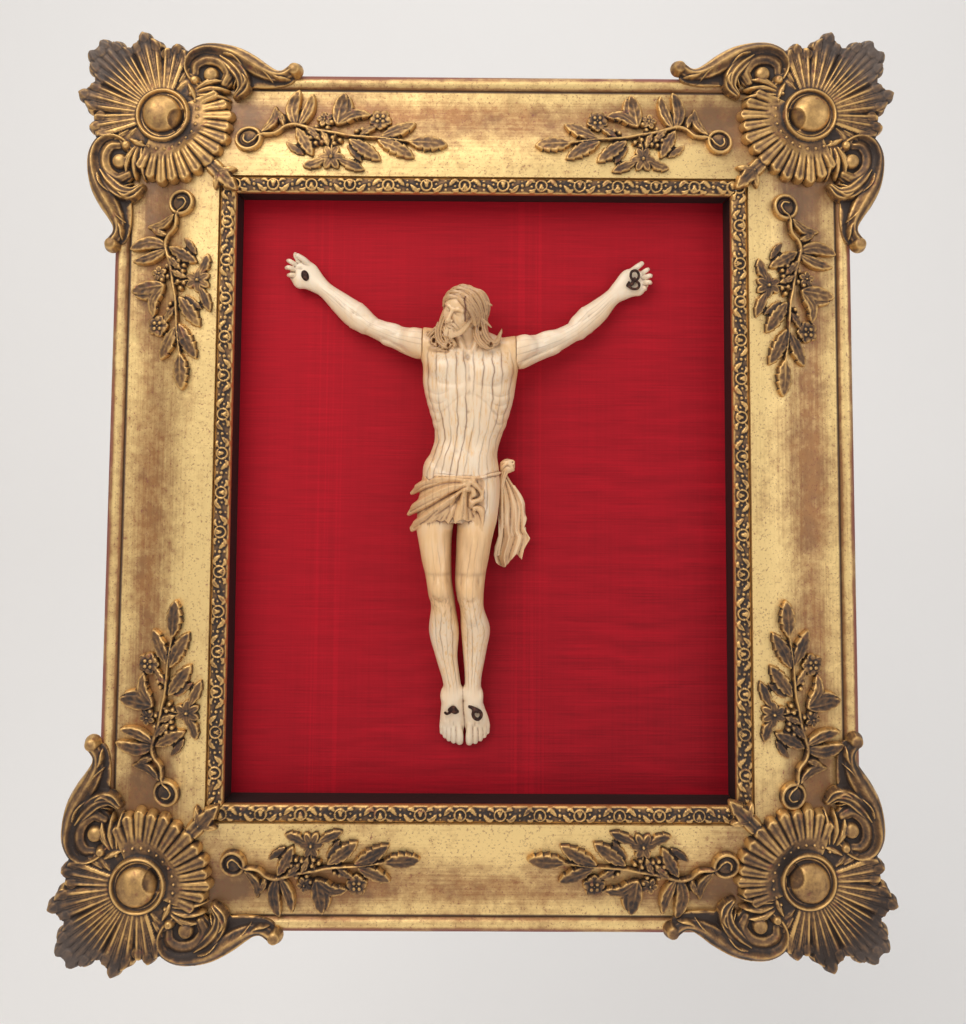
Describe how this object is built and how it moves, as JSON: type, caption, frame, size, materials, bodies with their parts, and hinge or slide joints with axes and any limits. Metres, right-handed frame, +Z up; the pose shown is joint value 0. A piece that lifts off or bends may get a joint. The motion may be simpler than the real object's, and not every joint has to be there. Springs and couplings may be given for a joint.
{
  "type": "framed crucifix corpus figure",
  "caption": "Carved ivory corpus figure with outstretched arms on crimson watered silk, in a gilt wood and composition frame with shell corners and floral sprays, hung on a wall",
  "frame": {"origin": "centre of the flat back of the frame and board, on the wall plane", "axes": "+X to the viewer's right, +Y into the wall, +Z up; the front faces -Y"},
  "size_m": [0.4254, 0.0495, 0.4785],
  "materials": {
    "gilt_wood": "burnished water gilding over red bole, worn on the edges, with fine scratches",
    "gilt_ornament": "gilded composition, dark bronze patina in the recesses",
    "crimson_silk": "watered ribbed silk with a soft sheen",
    "panel_wood": "plain aged softwood",
    "ivory": "polished old ivory with brown age lines and fine cracks along the grain",
    "dark_iron": "dark oxidised wire"
  },
  "bodies": {
    "root": {"rail_top": "gilt_wood", "rail_right": "gilt_wood", "rail_bottom": "gilt_wood", "rail_left": "gilt_wood", "strip_top": "gilt_ornament", "strip_right": "gilt_ornament", "strip_bottom": "gilt_ornament", "strip_left": "gilt_ornament", "corner_top_left": "gilt_ornament", "corner_top_right": "gilt_ornament", "corner_bottom_left": "gilt_ornament", "corner_bottom_right": "gilt_ornament", "spray_top_left": "gilt_ornament", "spray_left_top": "gilt_ornament", "spray_top_right": "gilt_ornament", "spray_right_top": "gilt_ornament", "spray_bottom_left": "gilt_ornament", "spray_left_bottom": "gilt_ornament", "spray_bottom_right": "gilt_ornament", "spray_right_bottom": "gilt_ornament", "backing_board": "panel_wood", "silk_cover": "crimson_silk", "corpus_body": "ivory", "arm_left": "ivory", "arm_right": "ivory", "cloth_end": "ivory", "nail_hand_left": "dark_iron", "wire_hand_right": "dark_iron", "wire_foot_left": "dark_iron", "wire_foot_right": "dark_iron"}
  },
  "joints": []
}
